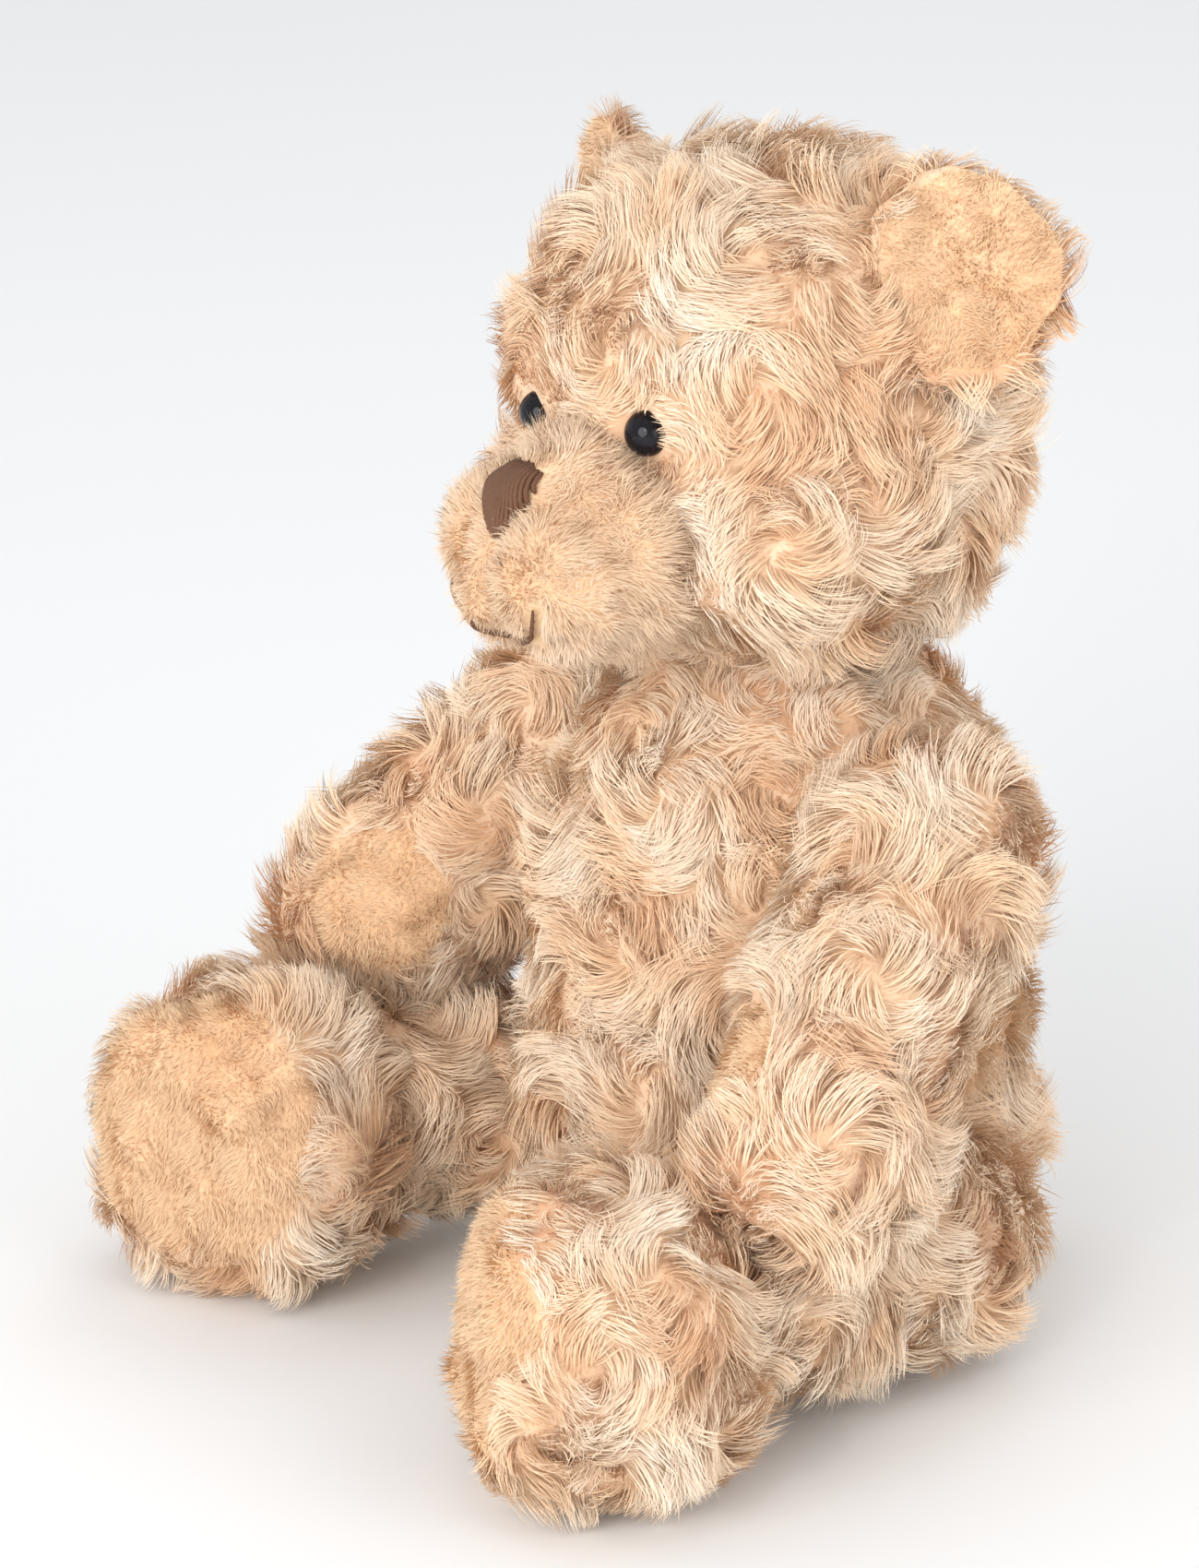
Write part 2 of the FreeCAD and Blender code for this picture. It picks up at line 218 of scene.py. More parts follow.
def cloth_material(name, colours, grain, bump, roughness=0.85, sheen=0.3):
    """Backing cloth: soft patches of colour, a fine knit and its bump."""
    material, nodes, links, shader = new_material(name)
    links.new(ramp(nodes, links, colours, noise(nodes, links, 38, 3)), shader.inputs["Base Color"])
    relief = nodes.new("ShaderNodeBump")
    relief.inputs["Strength"].default_value = bump
    relief.inputs["Distance"].default_value = 0.0006
    links.new(noise(nodes, links, grain, 4), relief.inputs["Height"])
    links.new(relief.outputs["Normal"], shader.inputs["Normal"])
    shader.inputs["Roughness"].default_value = roughness
    shader.inputs["Sheen Weight"].default_value = sheen
    return material


PEACH = (0.86, 0.62, 0.43)
TAN = (0.72, 0.43, 0.255)

CURLY = pile_material(
    "curly_pile",
    [(0.0, (0.95, 0.83, 0.69)), (0.30, (0.93, 0.75, 0.565)), (0.55, (0.90, 0.65, 0.435)),
     (0.80, (0.82, 0.52, 0.315)), (1.0, TAN)],
    [(0.0, (0.84, 0.73, 0.63)), (0.35, (0.94, 0.89, 0.84)), (0.75, (1, 1, 1))])
SHORT = pile_material(
    "short_pile",
    [(0.0, (0.93, 0.70, 0.47)), (0.5, (0.90, 0.63, 0.395)), (1.0, (0.84, 0.54, 0.31))],
    [(0.0, (0.84, 0.75, 0.66)), (0.6, (1, 1, 1))])
MUZZLE = pile_material(
    "muzzle_pile",
    [(0.0, (0.94, 0.77, 0.60)), (0.5, (0.91, 0.68, 0.475)), (1.0, (0.86, 0.59, 0.38))],
    [(0.0, (0.84, 0.74, 0.65)), (0.6, (1, 1, 1))])
PLUSH_BACK = cloth_material(
    "plush_backing", [(0.35, PEACH), (0.5, (0.80, 0.56, 0.36)), (0.68, TAN)], 900, 0.6)
SHORT_BACK = cloth_material(
    "short_pile_backing", [(0.35, (0.90, 0.66, 0.42)), (0.65, (0.80, 0.52, 0.29))], 1400, 0.5)
FILLING = cloth_material(
    "polyester_filling", [(0.3, (0.80, 0.80, 0.79)), (0.7, (0.93, 0.93, 0.92))], 420, 0.9)
BAG = cloth_material(
    "bag_cloth", [(0.3, (0.66, 0.66, 0.63)), (0.7, (0.76, 0.76, 0.73))], 1500, 0.6)
PELLETS = cloth_material(
    "pellets", [(0.3, (0.75, 0.75, 0.72)), (0.7, (0.9, 0.9, 0.88))], 500, 1.0, roughness=0.4, sheen=0.0)
PLASTIC = cloth_material(
    "joint_plastic", [(0.3, (0.84, 0.83, 0.80)), (0.7, (0.88, 0.87, 0.84))], 2500, 0.12, roughness=0.42,
    sheen=0.0)
BROWN = cloth_material(
    "brown_thread", [(0.3, (0.125, 0.050, 0.022)), (0.7, (0.19, 0.082, 0.038))], 2600, 0.7, roughness=0.6,
    sheen=0.0)
SEAM = cloth_material(
    "seam_thread", [(0.3, (0.72, 0.52, 0.34)), (0.7, (0.80, 0.60, 0.41))], 2600, 0.7, roughness=0.6,
    sheen=0.2)


def eye_material():
    """Glossy black plastic with a faint moulded haze."""
    material, nodes, links, shader = new_material("eye_plastic")
    blacks = [(0.3, (0.004, 0.004, 0.006)), (0.7, (0.010, 0.010, 0.014))]
    links.new(ramp(nodes, links, blacks, noise(nodes, links, 350)), shader.inputs["Base Color"])
    shader.inputs["Roughness"].default_value = 0.09
    shader.inputs["Specular IOR Level"].default_value = 0.25
    return material


EYE = eye_material()


def floor_material():
    material, nodes, links, shader = new_material("studio_floor")
    greys = [(0.3, (0.86, 0.86, 0.86)), (0.7, (0.87, 0.87, 0.87))]
    links.new(ramp(nodes, links, greys, noise(nodes, links, 2.0)), shader.inputs["Base Color"])
    shader.inputs["Roughness"].default_value = 0.9
    return material


# ---- meshes ---------------------------------------------------------------------------------------------

def add_object(name, mesh, material):
    piece = bpy.data.objects.new(name, mesh)
    root_collection.objects.link(piece)
    mesh.materials.append(material)
    return piece


def hull_mesh(clouds):
    """One closed mesh per cloud of points, each its convex hull."""
    bm = bmesh.new()
    for cloud in clouds:
        made = [bm.verts.new(p) for p in cloud]
        result = bmesh.ops.convex_hull(bm, input=made)
        loose = set(result["geom_interior"]) | set(result["geom_unused"])
        bmesh.ops.delete(bm, geom=[g for g in loose if isinstance(g, bmesh.types.BMVert)], context="VERTS")
    mesh = bpy.data.meshes.new("hull")
    bm.to_mesh(mesh)
    bm.free()
    return mesh


def ball(centre, radii, count=576):
    """Points of an ellipsoid, evenly spread along a spiral."""
    i = np.arange(count) + 0.5
    polar = np.arccos(1 - 2 * i / count)
    turn = math.pi * (1 + 5 ** 0.5) * i
    points = np.stack([np.cos(turn) * np.sin(polar), np.sin(turn) * np.sin(polar), np.cos(polar)], -1)
    return points * np.asarray(radii) + np.asarray(centre)


def stuffed(name, clouds, voxel=0.0035, rounds=6, swell=0.0):
    """The clouds' hulls joined into one soft, closed and slightly lumpy mesh."""
    mesh = hull_mesh(clouds)
    holder = bpy.data.objects.new(name + "_raw", mesh)
    root_collection.objects.link(holder)
    remesh = holder.modifiers.new("remesh", "REMESH")
    remesh.mode = "VOXEL"
    remesh.voxel_size = voxel
    smooth = holder.modifiers.new("smooth", "SMOOTH")
    smooth.iterations = rounds
    smooth.factor = 0.5
    subdivide = holder.modifiers.new("subdivide", "SUBSURF")
    subdivide.levels = 1
    graph = bpy.context.evaluated_depsgraph_get()
    made = bpy.data.meshes.new_from_object(holder.evaluated_get(graph))
    bpy.data.objects.remove(holder)
    bpy.data.meshes.remove(mesh)
    points, normals = mesh_points(made)
    lumps = LUMP_HEIGHT * LUMPS(points)
    fine_lumps = LUMP_FINE_HEIGHT * LUMPS_FINE(points)
    points = points + normals * (swell + lumps + fine_lumps)[:, None]
    points[:, 2] = np.maximum(points[:, 2], FLOOR_CLEAR)
    made.vertices.foreach_set("co", points.ravel())
    made.update()
    return made


def mesh_points(mesh):
    """A mesh's points and their normals."""
    points = np.empty(len(mesh.vertices) * 3)
    mesh.vertices.foreach_get("co", points)
    normals = np.empty(len(mesh.vertices) * 3)
    mesh.vertex_normals.foreach_get("vector", normals)
    return points.reshape(-1, 3), normals.reshape(-1, 3)


def part_of(mesh, name, inside):
    """The faces whose middles are inside, as a mesh of their own."""
    bm = bmesh.new()
    bm.from_mesh(mesh)
    centres = np.array([f.calc_center_median() for f in bm.faces])
    keep = inside(centres)
    bmesh.ops.delete(bm, geom=[f for f, k in zip(bm.faces, keep) if not k], context="FACES")
    made = bpy.data.meshes.new(name)
    bm.to_mesh(made)
    bm.free()
    return made


def smooth_shade(mesh):
    mesh.polygons.foreach_set("use_smooth", np.ones(len(mesh.polygons), bool))


# ---- pile -----------------------------------------------------------------------------------------------

def scatter(mesh, density, rng):
    """Random points on a mesh with their smooth normals."""
    mesh.calc_loop_triangles()
    count = len(mesh.loop_triangles)
    corners = np.empty(count * 3, np.int32)
    mesh.loop_triangles.foreach_get("vertices", corners)
    corners = corners.reshape(-1, 3)
    points, normals = mesh_points(mesh)
    a, b, c = (points[corners[:, i]] for i in range(3))
    areas = np.linalg.norm(np.cross(b - a, c - a), axis=1) / 2
    number = int(areas.sum() * density)
    chosen = rng.choice(count, number, p=areas / areas.sum())
    u = np.sqrt(rng.random(number))
    v = rng.random(number)
    weights = np.stack([1 - u, u * (1 - v), u * v], -1)
    at = np.einsum("nk,nkd->nd", weights, points[corners[chosen]])
    facing = unit(np.einsum("nk,nkd->nd", weights, normals[corners[chosen]]))
    return at, facing


def nearest(targets, points):
    """Which target is nearest to each point."""
    tree = kdtree.KDTree(len(targets))
    for i, target in enumerate(targets):
        tree.insert(target, i)
    tree.balance()
    return np.array([tree.find(p)[1] for p in points])


def spread(points, spacing, density, rng):
    """Some of the points, no two nearer than spacing, out of points that lie at that density."""
    tries = min(len(points), max(200, int(len(points) * 7 / (density * spacing ** 2))))
    picked = rng.permutation(len(points))[:tries]
    tree = kdtree.KDTree(tries)
    for i, p in enumerate(points[picked]):
        tree.insert(p, i)
    tree.balance()
    gone = np.zeros(tries, bool)
    kept = []
    for i in range(tries):
        if not gone[i]:
            kept.append(picked[i])
            for _, j, _ in tree.find_range(points[picked[i]], spacing):
                gone[j] = True
    return np.array(kept)


def turn_about(vectors, axes, angles):
    c = np.cos(angles)[:, None]
    s = np.sin(angles)[:, None]
    dots = np.sum(vectors * axes, 1, keepdims=True)
    return vectors * c + np.cross(axes, vectors) * s + axes * dots * (1 - c)


def swirl_ways(at, facing, density, rng, comb):
    """A direction along the surface at each point, turning in whorls, with a general comb direction. Also the
    way that each whorl spins and how far its middle is."""
    centres = spread(at, SWIRL_SPACING, density, rng)
    own = nearest(at[centres], at)
    spin = rng.choice([-1.0, 1.0], len(centres))[own]
    out = at - at[centres][own]
    out = out - facing * np.sum(out * facing, 1, keepdims=True)
    around = np.cross(facing, unit(out)) * spin[:, None]
    away = np.linalg.norm(out, axis=1)
    outer = np.clip(away / SWIRL_SPACING, 0, 1)[:, None]
    ways = around + unit(out) * 0.45 + np.asarray(comb) * outer * 0.6
    ways = ways + rng.normal(scale=0.12, size=ways.shape)
    ways = ways - facing * np.sum(ways * facing, 1, keepdims=True)
    return unit(ways), spin, away


def grow(at, facing, ways, lengths, stand, lay, curl, sections):
    """Strand points, shaped (strand, section, 3): up from the root and over along its way."""
    count = len(at)
    points = np.empty((count, sections, 3))
    points[:, 0] = at
    for k in range(1, sections):
        part = (k - 0.5) / (sections - 1)
        angle = stand + (lay - stand) * part ** 0.8
        way = turn_about(ways, facing, curl * part)
        step = facing * np.cos(angle)[:, None] + way * np.sin(angle)[:, None]
        points[:, k] = points[:, k - 1] + step * (lengths / (sections - 1))[:, None]
    return points


def strand_mesh(name, points, facing, width, shade, rng):
    """Tapered flat strands as one mesh, with the shade and the place along each strand as its UV."""
    count, sections, _ = points.shape
    along = unit(points[:, -1] - points[:, 0])
    across = unit(np.cross(along, facing))
    across = turn_about(across, along, rng.normal(scale=0.5, size=count))
    taper = np.linspace(1.0, 0.55, sections - 1)
    half = (width / 2)[:, None] * taper
    left = points[:, :-1] - across[:, None] * half[..., None]
    right = points[:, :-1] + across[:, None] * half[..., None]
    pairs = np.stack([left, right], 2).reshape(count, -1, 3)
    verts = np.concatenate([pairs, points[:, -1:]], 1)
    verts[..., 2] = np.maximum(verts[..., 2], FLOOR_CLEAR)
    each = verts.shape[1]

    quads = [(2 * k, 2 * k + 1, 2 * k + 3, 2 * k + 2) for k in range(sections - 2)]
    tip = (each - 3, each - 2, each - 1)
    pattern = np.array([i for q in quads for i in q] + list(tip))
    starts = np.array([4 * k for k in range(len(quads))] + [4 * len(quads)])
    loops = (np.arange(count)[:, None] * each + pattern).ravel()
    face_starts = (np.arange(count)[:, None] * len(pattern) + starts).ravel()

    mesh = bpy.data.meshes.new(name)
    mesh.vertices.add(count * each)
    mesh.vertices.foreach_set("co", verts.ravel())
    mesh.loops.add(len(loops))
    mesh.loops.foreach_set("vertex_index", loops.astype(np.int32))
    mesh.polygons.add(len(face_starts))
    mesh.polygons.foreach_set("loop_start", face_starts.astype(np.int32))
    smooth_shade(mesh)
    mesh.update(calc_edges=True)

    place = np.repeat(np.linspace(0, 1, sections), 2)[:each]
    side = np.tile([-0.012, 0.012], sections)[:each]
    side[-1] = 0
    u = np.clip(shade[:, None] + side, 0.004, 0.996)
    v = np.broadcast_to(0.02 + 0.96 * place, u.shape)
    uv = np.stack([u, v], -1).reshape(-1, 2)[loops]
    layer = mesh.uv_layers.new(name="OFBake")
    layer.data.foreach_set("uv", uv.ravel())

    tips = unit(points[:, 1:] - points[:, :-1])
    lean = np.concatenate([tips, tips[:, -1:]], 1)
    flat = np.cross(across[:, None], lean)
    flat = flat * np.sign(np.sum(flat * facing[:, None], -1, keepdims=True) + 1e-9)
    shown = unit(0.85 * facing[:, None] + 0.40 * flat)
    shown = np.repeat(shown, 2, 1)[:, :each]
    mesh.normals_split_custom_set_from_vertices(shown.reshape(-1, 3).tolist())
    return mesh


def curly_pile(name, mesh, body, seed, wanted=None, length=None, comb=(0, 0, -1), density=1.0, tint=0.0):
    """Long swirling plush on a mesh: locks follow whorls, and each strand is drawn a little to its lock."""
    rng = np.random.default_rng(SEED * 1000 + seed)
    per_m2 = PILE_PER_M2 * density
    at, facing = scatter(mesh, per_m2, rng)
    ways, spin, away = swirl_ways(at, facing, per_m2, rng, comb)
    guides = spread(at, LOCK_SPACING, per_m2, rng)
    own = nearest(at[guides], at)
    size = PILE_LENGTH * (1.0 if length is None else length(at)) * (1 + 0.10 * LUMPS(at))
    lock_size = rng.uniform(0.85, 1.15, len(guides))[own]
    lock_lay = rng.uniform(math.radians(64), math.radians(92), len(guides))[own]
    lock_curl = spin * rng.uniform(0.3, 1.7, len(guides))[own] + rng.normal(scale=0.25, size=len(at))
    size = size * lock_size * rng.uniform(0.8, 1.1, len(at))
    stand = rng.uniform(0.35, 0.9, len(at))
    ways = unit(ways[guides][own] * 0.65 + ways * 0.35)
    ways = unit(ways - facing * np.sum(ways * facing, 1, keepdims=True))
    points = grow(at, facing, ways, size, stand, lock_lay, lock_curl, SECTIONS)
    guide_points = points[guides][own]
    pull = rng.uniform(0.1, 0.62, len(at))
    for k in range(1, SECTIONS):
        amount = (pull * (k / (SECTIONS - 1)) ** 1.2)[:, None]
        goal = guide_points[:, k] + (at - at[guides][own]) * 0.2
        points[:, k] = points[:, k] * (1 - amount) + goal * amount
    points = points + rng.normal(scale=0.00010, size=points.shape) * np.linspace(0, 1, SECTIONS)[:, None]
    # Painted shade: near a whorl's middle, where the pile parts, strands are coloured towards tan; this is
    # partly the deeper colour of the roots seen there and partly painted shade of the parting.
    whorl_root_colour_and_shade = np.exp(-(away / WHORL_SHADE_REACH) ** 2)
    shade = 0.40 + tint + 0.135 * MOTTLE(at) + 0.06 * MOTTLE_FINE(at) + 0.16 * whorl_root_colour_and_shade
    shade = shade + rng.normal(scale=0.035, size=len(guides))[own] + rng.normal(scale=0.03, size=len(at))
    width = PILE_WIDTH * rng.uniform(0.7, 1.25, len(at))
    keep = points[:, :, 2].min(1) > 0.0
    if wanted is not None:
        keep &= wanted(at, facing)
    strand_pieces(name, points[keep], facing[keep], width[keep], shade[keep], body, CURLY, rng)


def strand_pieces(name, points, facing, width, shade, body, material, rng):
    """One object per MOST_STRANDS strands, cut from front to back so that each holds one stretch."""
    order = np.argsort(points[:, 0, 1], kind="stable")
    groups = np.array_split(order, max(1, math.ceil(len(order) / MOST_STRANDS)))
    for i, group in enumerate(groups):
        piece_name = f"{name}_{i + 1}" if len(groups) > 1 else name
        mesh = strand_mesh(piece_name, points[group], facing[group], width[group], shade[group], rng)
        piece = add_object(piece_name, mesh, material)
        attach(piece, body)


def short_pile(name, mesh, body, seed, material=SHORT, wanted=None, comb=(0, 0, -1), length=None):
    """Dense velour: short strands that stand and lean one way, in soft stroked patches."""
    rng = np.random.default_rng(SEED * 1000 + seed)
    at, facing = scatter(mesh, SHORT_PER_M2, rng)
    if wanted is not None:
        keep = wanted(at, facing)
        at, facing = at[keep], facing[keep]
    ways = np.asarray(comb, float) + 0.5 * np.stack([MOTTLE_FINE(at), LUMPS_FINE(at), LUMPS(at)], -1)
    ways = ways - facing * np.sum(ways * facing, 1, keepdims=True)
    ways = unit(ways + rng.normal(scale=0.35, size=ways.shape))
    sizes = SHORT_LENGTH * (1.0 if length is None else length(at)) * rng.uniform(0.7, 1.25, len(at))
    lay = rng.uniform(0.75, 1.25, len(at)) + 0.12 * LUMPS_FINE(at)
    stand = rng.uniform(0.1, 0.6, len(at))
    points = grow(at, facing, ways, sizes, stand, lay, np.zeros(len(at)), SHORT_SECTIONS)
    shade = 0.5 + 0.07 * MOTTLE(at) + 0.04 * MOTTLE_FINE(at) + rng.normal(scale=0.035, size=len(at))
    width = SHORT_WIDTH * rng.uniform(0.75, 1.3, len(at))
    strand_pieces(name, points, facing, width, shade, body, material, rng)


# ---- stuffed bodies -------------------------------------------------------------------------------------

def back_piece(name, mesh, material, body, nodes):
    """A stuffed skin that stands for CAD nodes."""
    smooth_shade(mesh)
    piece = add_object(name, mesh, material)
    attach(piece, body)
    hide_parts(*nodes)


def sat_on(at, facing):
    """Which places are pressed flat on the floor, where pile would have no room."""
    return (at[:, 2] < BASE_HEIGHT) & (facing[:, 2] < -0.8)


def floor_length(at, most):
    """Pile is pressed shorter close to the floor."""
    return np.clip(0.35 + at[:, 2] / 0.024, 0.4, most)


def pad_test(centre, way, radius, depth):
    """A test for points on a round pad that faces that way."""
    def in_pad(points):
        off = points - centre
        height = off @ way
        return (np.linalg.norm(off - height[:, None] * way, axis=1) < radius) & (height > -depth)
    return in_pad


def make_torso():
    mesh = stuffed("torso", [node_points("body_plush_skin")])
    back_piece("torso_plush", mesh, PLUSH_BACK, "torso", ["body_plush_skin"])
    neck_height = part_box("body_plush_skin")[1][2]

    def length(at):
        near_neck = np.clip((neck_height - at[:, 2]) / 0.02, 0.45, 1)
        return near_neck * floor_length(at, 1)

    curly_pile("torso_fur", mesh, "torso", 1, length=length, wanted=lambda at, facing: ~sat_on(at, facing))
    tail = stuffed("tail", [node_points("tail_plush_skin")], voxel=0.0025, rounds=4)
    back_piece("tail_plush", tail, PLUSH_BACK, "torso", ["tail_plush_skin"])
    curly_pile("tail_fur", tail, "torso", 2, comb=(0, 0.6, -0.4), density=1.2, tint=0.18)


def make_arm(side):
    body = f"{side}_arm"
    skin, pad = f"{side}_arm_plush_skin", f"{side}_paw_pad"
    mesh = stuffed(body, [node_points(skin, pad)])
    centre, way = flat_facing(pad)
    if np.dot(way, centre - middle(skin)) < 0:
        way = -way
    in_pad = pad_test(centre, way, PAW_RADIUS, PAW_DEPTH)
    pad_mesh = part_of(mesh, f"{side}_paw", in_pad)
    arm_mesh = part_of(mesh, body, lambda p: ~in_pad(p))
    back_piece(f"{side}_arm_plush", arm_mesh, PLUSH_BACK, body, [skin])
    back_piece(f"{side}_paw_velour", pad_mesh, SHORT_BACK, body, [pad])
    seed = 10 if side == "left" else 11
    curly_pile(f"{side}_arm_fur", mesh, body, seed, comb=(0, -0.5, -0.8),
               wanted=lambda at, facing: ~in_pad(at), length=lambda at: rim_length(at, centre, PAW_RADIUS))
    short_pile(f"{side}_paw_pile", pad_mesh, body, seed + 10, comb=(0, -0.6, -0.5))


def rim_length(at, centre, radius):
    """Pile grows a little shorter next to a pad."""
    away = np.linalg.norm(at - centre, axis=1)
    return np.clip(0.62 + (away - radius) / 0.02, 0.62, 1)


def make_leg(side):
    """The foot's end and the thigh are stuffed as two forms that run into each other at the ankle."""
    body = f"{side}_leg"
    skin, pad = f"{side}_leg_plush_skin", f"{side}_sole_pad"
    cloud = node_points(skin, pad)
    centre, way = flat_facing(pad)
    if way[1] > 0:
        way = -way
    foot_from = (cloud - centre) @ way
    foot = cloud[foot_from > -0.051]
    hip = middle(f"{side}_hip_stem_disc")
    hip[0] = np.mean(cloud[cloud[:, 1] > hip[1]][:, 0])
    along = unit(centre - way * 0.026 - hip)
    off_line = cloud - hip - ((cloud - hip) @ along)[:, None] * along
    thigh = cloud[(foot_from < -0.054) | (np.linalg.norm(off_line, axis=1) < 0.0215)]
    mesh = stuffed(body, [foot, thigh], swell=0.0006)
    in_pad = pad_test(centre, way, SOLE_RADIUS, SOLE_DEPTH)
    pad_mesh = part_of(mesh, f"{side}_sole", in_pad)
    leg_mesh = part_of(mesh, body, lambda p: ~in_pad(p))
    back_piece(f"{side}_leg_plush", leg_mesh, PLUSH_BACK, body, [skin])
    back_piece(f"{side}_sole_velour", pad_mesh, SHORT_BACK, body, [pad])
    seed, outwards = (30, 0.2) if side == "left" else (31, -0.2)

    def wanted(at, facing):
        return ~in_pad(at) & ~sat_on(at, facing)

    def length(at):
        return rim_length(at, centre, SOLE_RADIUS) * floor_length(at, 0.9)

    curly_pile(f"{side}_leg_fur", mesh, body, seed, comb=(outwards, -0.3, -0.5), wanted=wanted, length=length,
               tint=-0.06)
    short_pile(f"{side}_sole_pile", pad_mesh, body, seed + 10, comb=(0, 0, -1))


# ---- head -----------------------------------------------------------------------------------------------

def head_axes():
    """The head's own directions: left from eye to eye, forwards to the muzzle, and up."""
    left = unit(middle("left_eye_washer") - middle("right_eye_washer"))
    eyes = (middle("left_eye_washer") + middle("right_eye_washer")) / 2
    core = np.array([0, 0, eyes[2]])
    forward = eyes - core
    forward = unit(forward - left * np.dot(forward, left))
    up = unit(np.cross(left, -forward))
    return left, forward, up if up[2] > 0 else -up


def make_head():
    """The CAD head with fuller cheeks and brow, and then its muzzle, eyes and ears."""
    left, forward, up = head_axes()
    muzzle = middle("muzzle_filling")
    core = middle("head_plush_skin")
    clouds = [node_points("head_plush_skin")]
    for side in (1, -1):
        cheek = core + left * 0.027 * side + forward * 0.020 - up * 0.024
        clouds.append(ball(cheek, (0.029, 0.029, 0.024)))
    brow = core + forward * 0.016 + up * 0.020
    clouds.append(ball(brow, (0.037, 0.034, 0.027)))
    mesh = stuffed("head", clouds)
    back_piece("head_plush", mesh, PLUSH_BACK, "head", ["head_plush_skin"])

    eye_places = [outer_eye(side)[0] for side in ("left", "right")]
    chin_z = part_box("head_plush_skin")[0][2]

    def wanted(at, facing):
        clear = np.linalg.norm(at - muzzle, axis=1) > 0.0235
        for place in eye_places:
            clear &= np.linalg.norm(at - place, axis=1) > 0.0062
        return clear

    ears = [middle(f"{side}_ear_lining") for side in ("left", "right")]

    def length(at):
        from_muzzle = np.linalg.norm(at - muzzle, axis=1)
        short = np.clip(0.40 + (from_muzzle - 0.026) / 0.034, 0.40, 1)
        for place in eye_places:
            from_eye = np.linalg.norm(at - place, axis=1)
            short = np.minimum(short, np.clip(0.30 + (from_eye - 0.006) / 0.028, 0.3, 1))
        for place in ears:
            from_ear = np.linalg.norm(at - place, axis=1)
            short = np.minimum(short, np.clip(0.5 + (from_ear - 0.018) / 0.02, 0.5, 1))
        return short * np.clip(0.55 + (at[:, 2] - chin_z) / 0.02, 0.55, 1)

    comb = tuple(-up * 0.7 - forward * 0.5)
    curly_pile("head_fur", mesh, "head", 50, wanted=wanted, length=length, comb=comb)
    make_muzzle(left, forward, up, muzzle, tree_of(mesh))
    for side in ("left", "right"):
        make_eye(side)
        make_ear(side, core, up)


def make_muzzle(left, forward, up, muzzle, head_tree):
    """A full rounded snout with a soft crease from the nose down to the mouth."""
    lobes = [ball(muzzle + left * 0.0080 * side + forward * 0.0062 - up * 0.0040, (0.0168, 0.0168, 0.0158))
             for side in (1, -1)]
    nose_centre = middle("nose_embroidery")
    bridge = ball(nose_centre - forward * 0.0105 - up * 0.0014, (0.0142, 0.0142, 0.0124))
    core = ball(muzzle - forward * 0.0060, (0.0265, 0.0240, 0.0225))
    mesh = stuffed("muzzle", [node_points("muzzle_skin"), core, bridge] + lobes, voxel=0.0025, rounds=5,
                   swell=0.0008)
    points, normals = mesh_points(mesh)
    off = points - muzzle
    in_front = np.clip((off @ forward) / 0.010, 0, 1) * np.clip((0.004 - off @ up) / 0.006, 0, 1)
    crease = 0.0026 * np.exp(-((off @ left) / 0.0026) ** 2) * in_front
    mesh.vertices.foreach_set("co", (points - normals * crease[:, None]).ravel())
    mesh.update()
    back_piece("muzzle_velour", mesh, SHORT_BACK, "head", ["muzzle_skin"])
    make_nose(mesh, left, forward, up, nose_centre)
    mouth = make_mouth(mesh, left, forward, up, muzzle)

    def wanted(at, facing):
        off = at - nose_centre
        sideways, height = np.abs(off @ left), off @ up
        on_nose = (sideways < 0.0080 * np.clip((height + 0.0085) / 0.0100, 0, 1)) & (height < 0.0060)
        on_nose &= off @ forward > -0.02
        near_mouth = np.min(np.linalg.norm(at[:, None] - mouth[None], axis=2), 1) < 0.0024
        return ~on_nose & ~near_mouth & ~sunk(head_tree, at)

    def length(at):
        """Longer towards the cheeks."""
        return 1.15 + 1.0 * np.clip((0.012 - (at - muzzle) @ forward) / 0.02, 0, 1)
    comb = tuple(-up * 0.4 - forward * 1.0)
    short_pile("muzzle_pile", mesh, "head", 60, material=MUZZLE, wanted=wanted, comb=comb, length=length)


def sunk(mesh_tree, points):
    """Which points lie under the surface of a mesh."""
    found = [mesh_tree.find_nearest(p) for p in points]
    return np.array([(Vector(p) - hit[0]).dot(hit[1]) < -0.0008 for p, hit in zip(points, found)])


def ray_to(mesh_tree, start, way):
    """Where a ray meets a mesh and the surface's normal there, or None."""
    hit = mesh_tree.ray_cast(Vector(start), Vector(way))
    return None if hit[0] is None else (np.array(hit[0]), np.array(hit[1]))


def tree_of(mesh):
    bm = bmesh.new()
    bm.from_mesh(mesh)
    tree = BVHTree.FromBMesh(bm)
    bm.free()
    return tree


def thread(points, radius, twist, sides=8):
    """A round thread through the points, as vertices and faces; twist ridges it like spun yarn."""
    points = np.asarray(points)
    along = unit(np.gradient(points, axis=0))
    helper = np.array([0.13, 0.21, 0.97])
    across = unit(np.cross(along, helper))
    other = np.cross(along, across)
    verts = []
    for i, p in enumerate(points):
        thin = radius * (1 - 0.35 * (2 * i / (len(points) - 1) - 1) ** 6)
        for s in range(sides):
            angle = 2 * math.pi * s / sides + twist * i
            ridge = thin * (1 + (0.16 if s % 2 else 0.0))
            verts.append(p + across[i] * math.cos(angle) * ridge + other[i] * math.sin(angle) * ridge)
    faces = []
    for i in range(len(points) - 1):
        for s in range(sides):
            a = i * sides + s
            b = i * sides + (s + 1) % sides
            faces.append((a, b, b + sides, a + sides))
    faces.append(tuple(range(sides - 1, -1, -1)))
    last = (len(points) - 1) * sides
    faces.append(tuple(range(last, last + sides)))
    return verts, faces


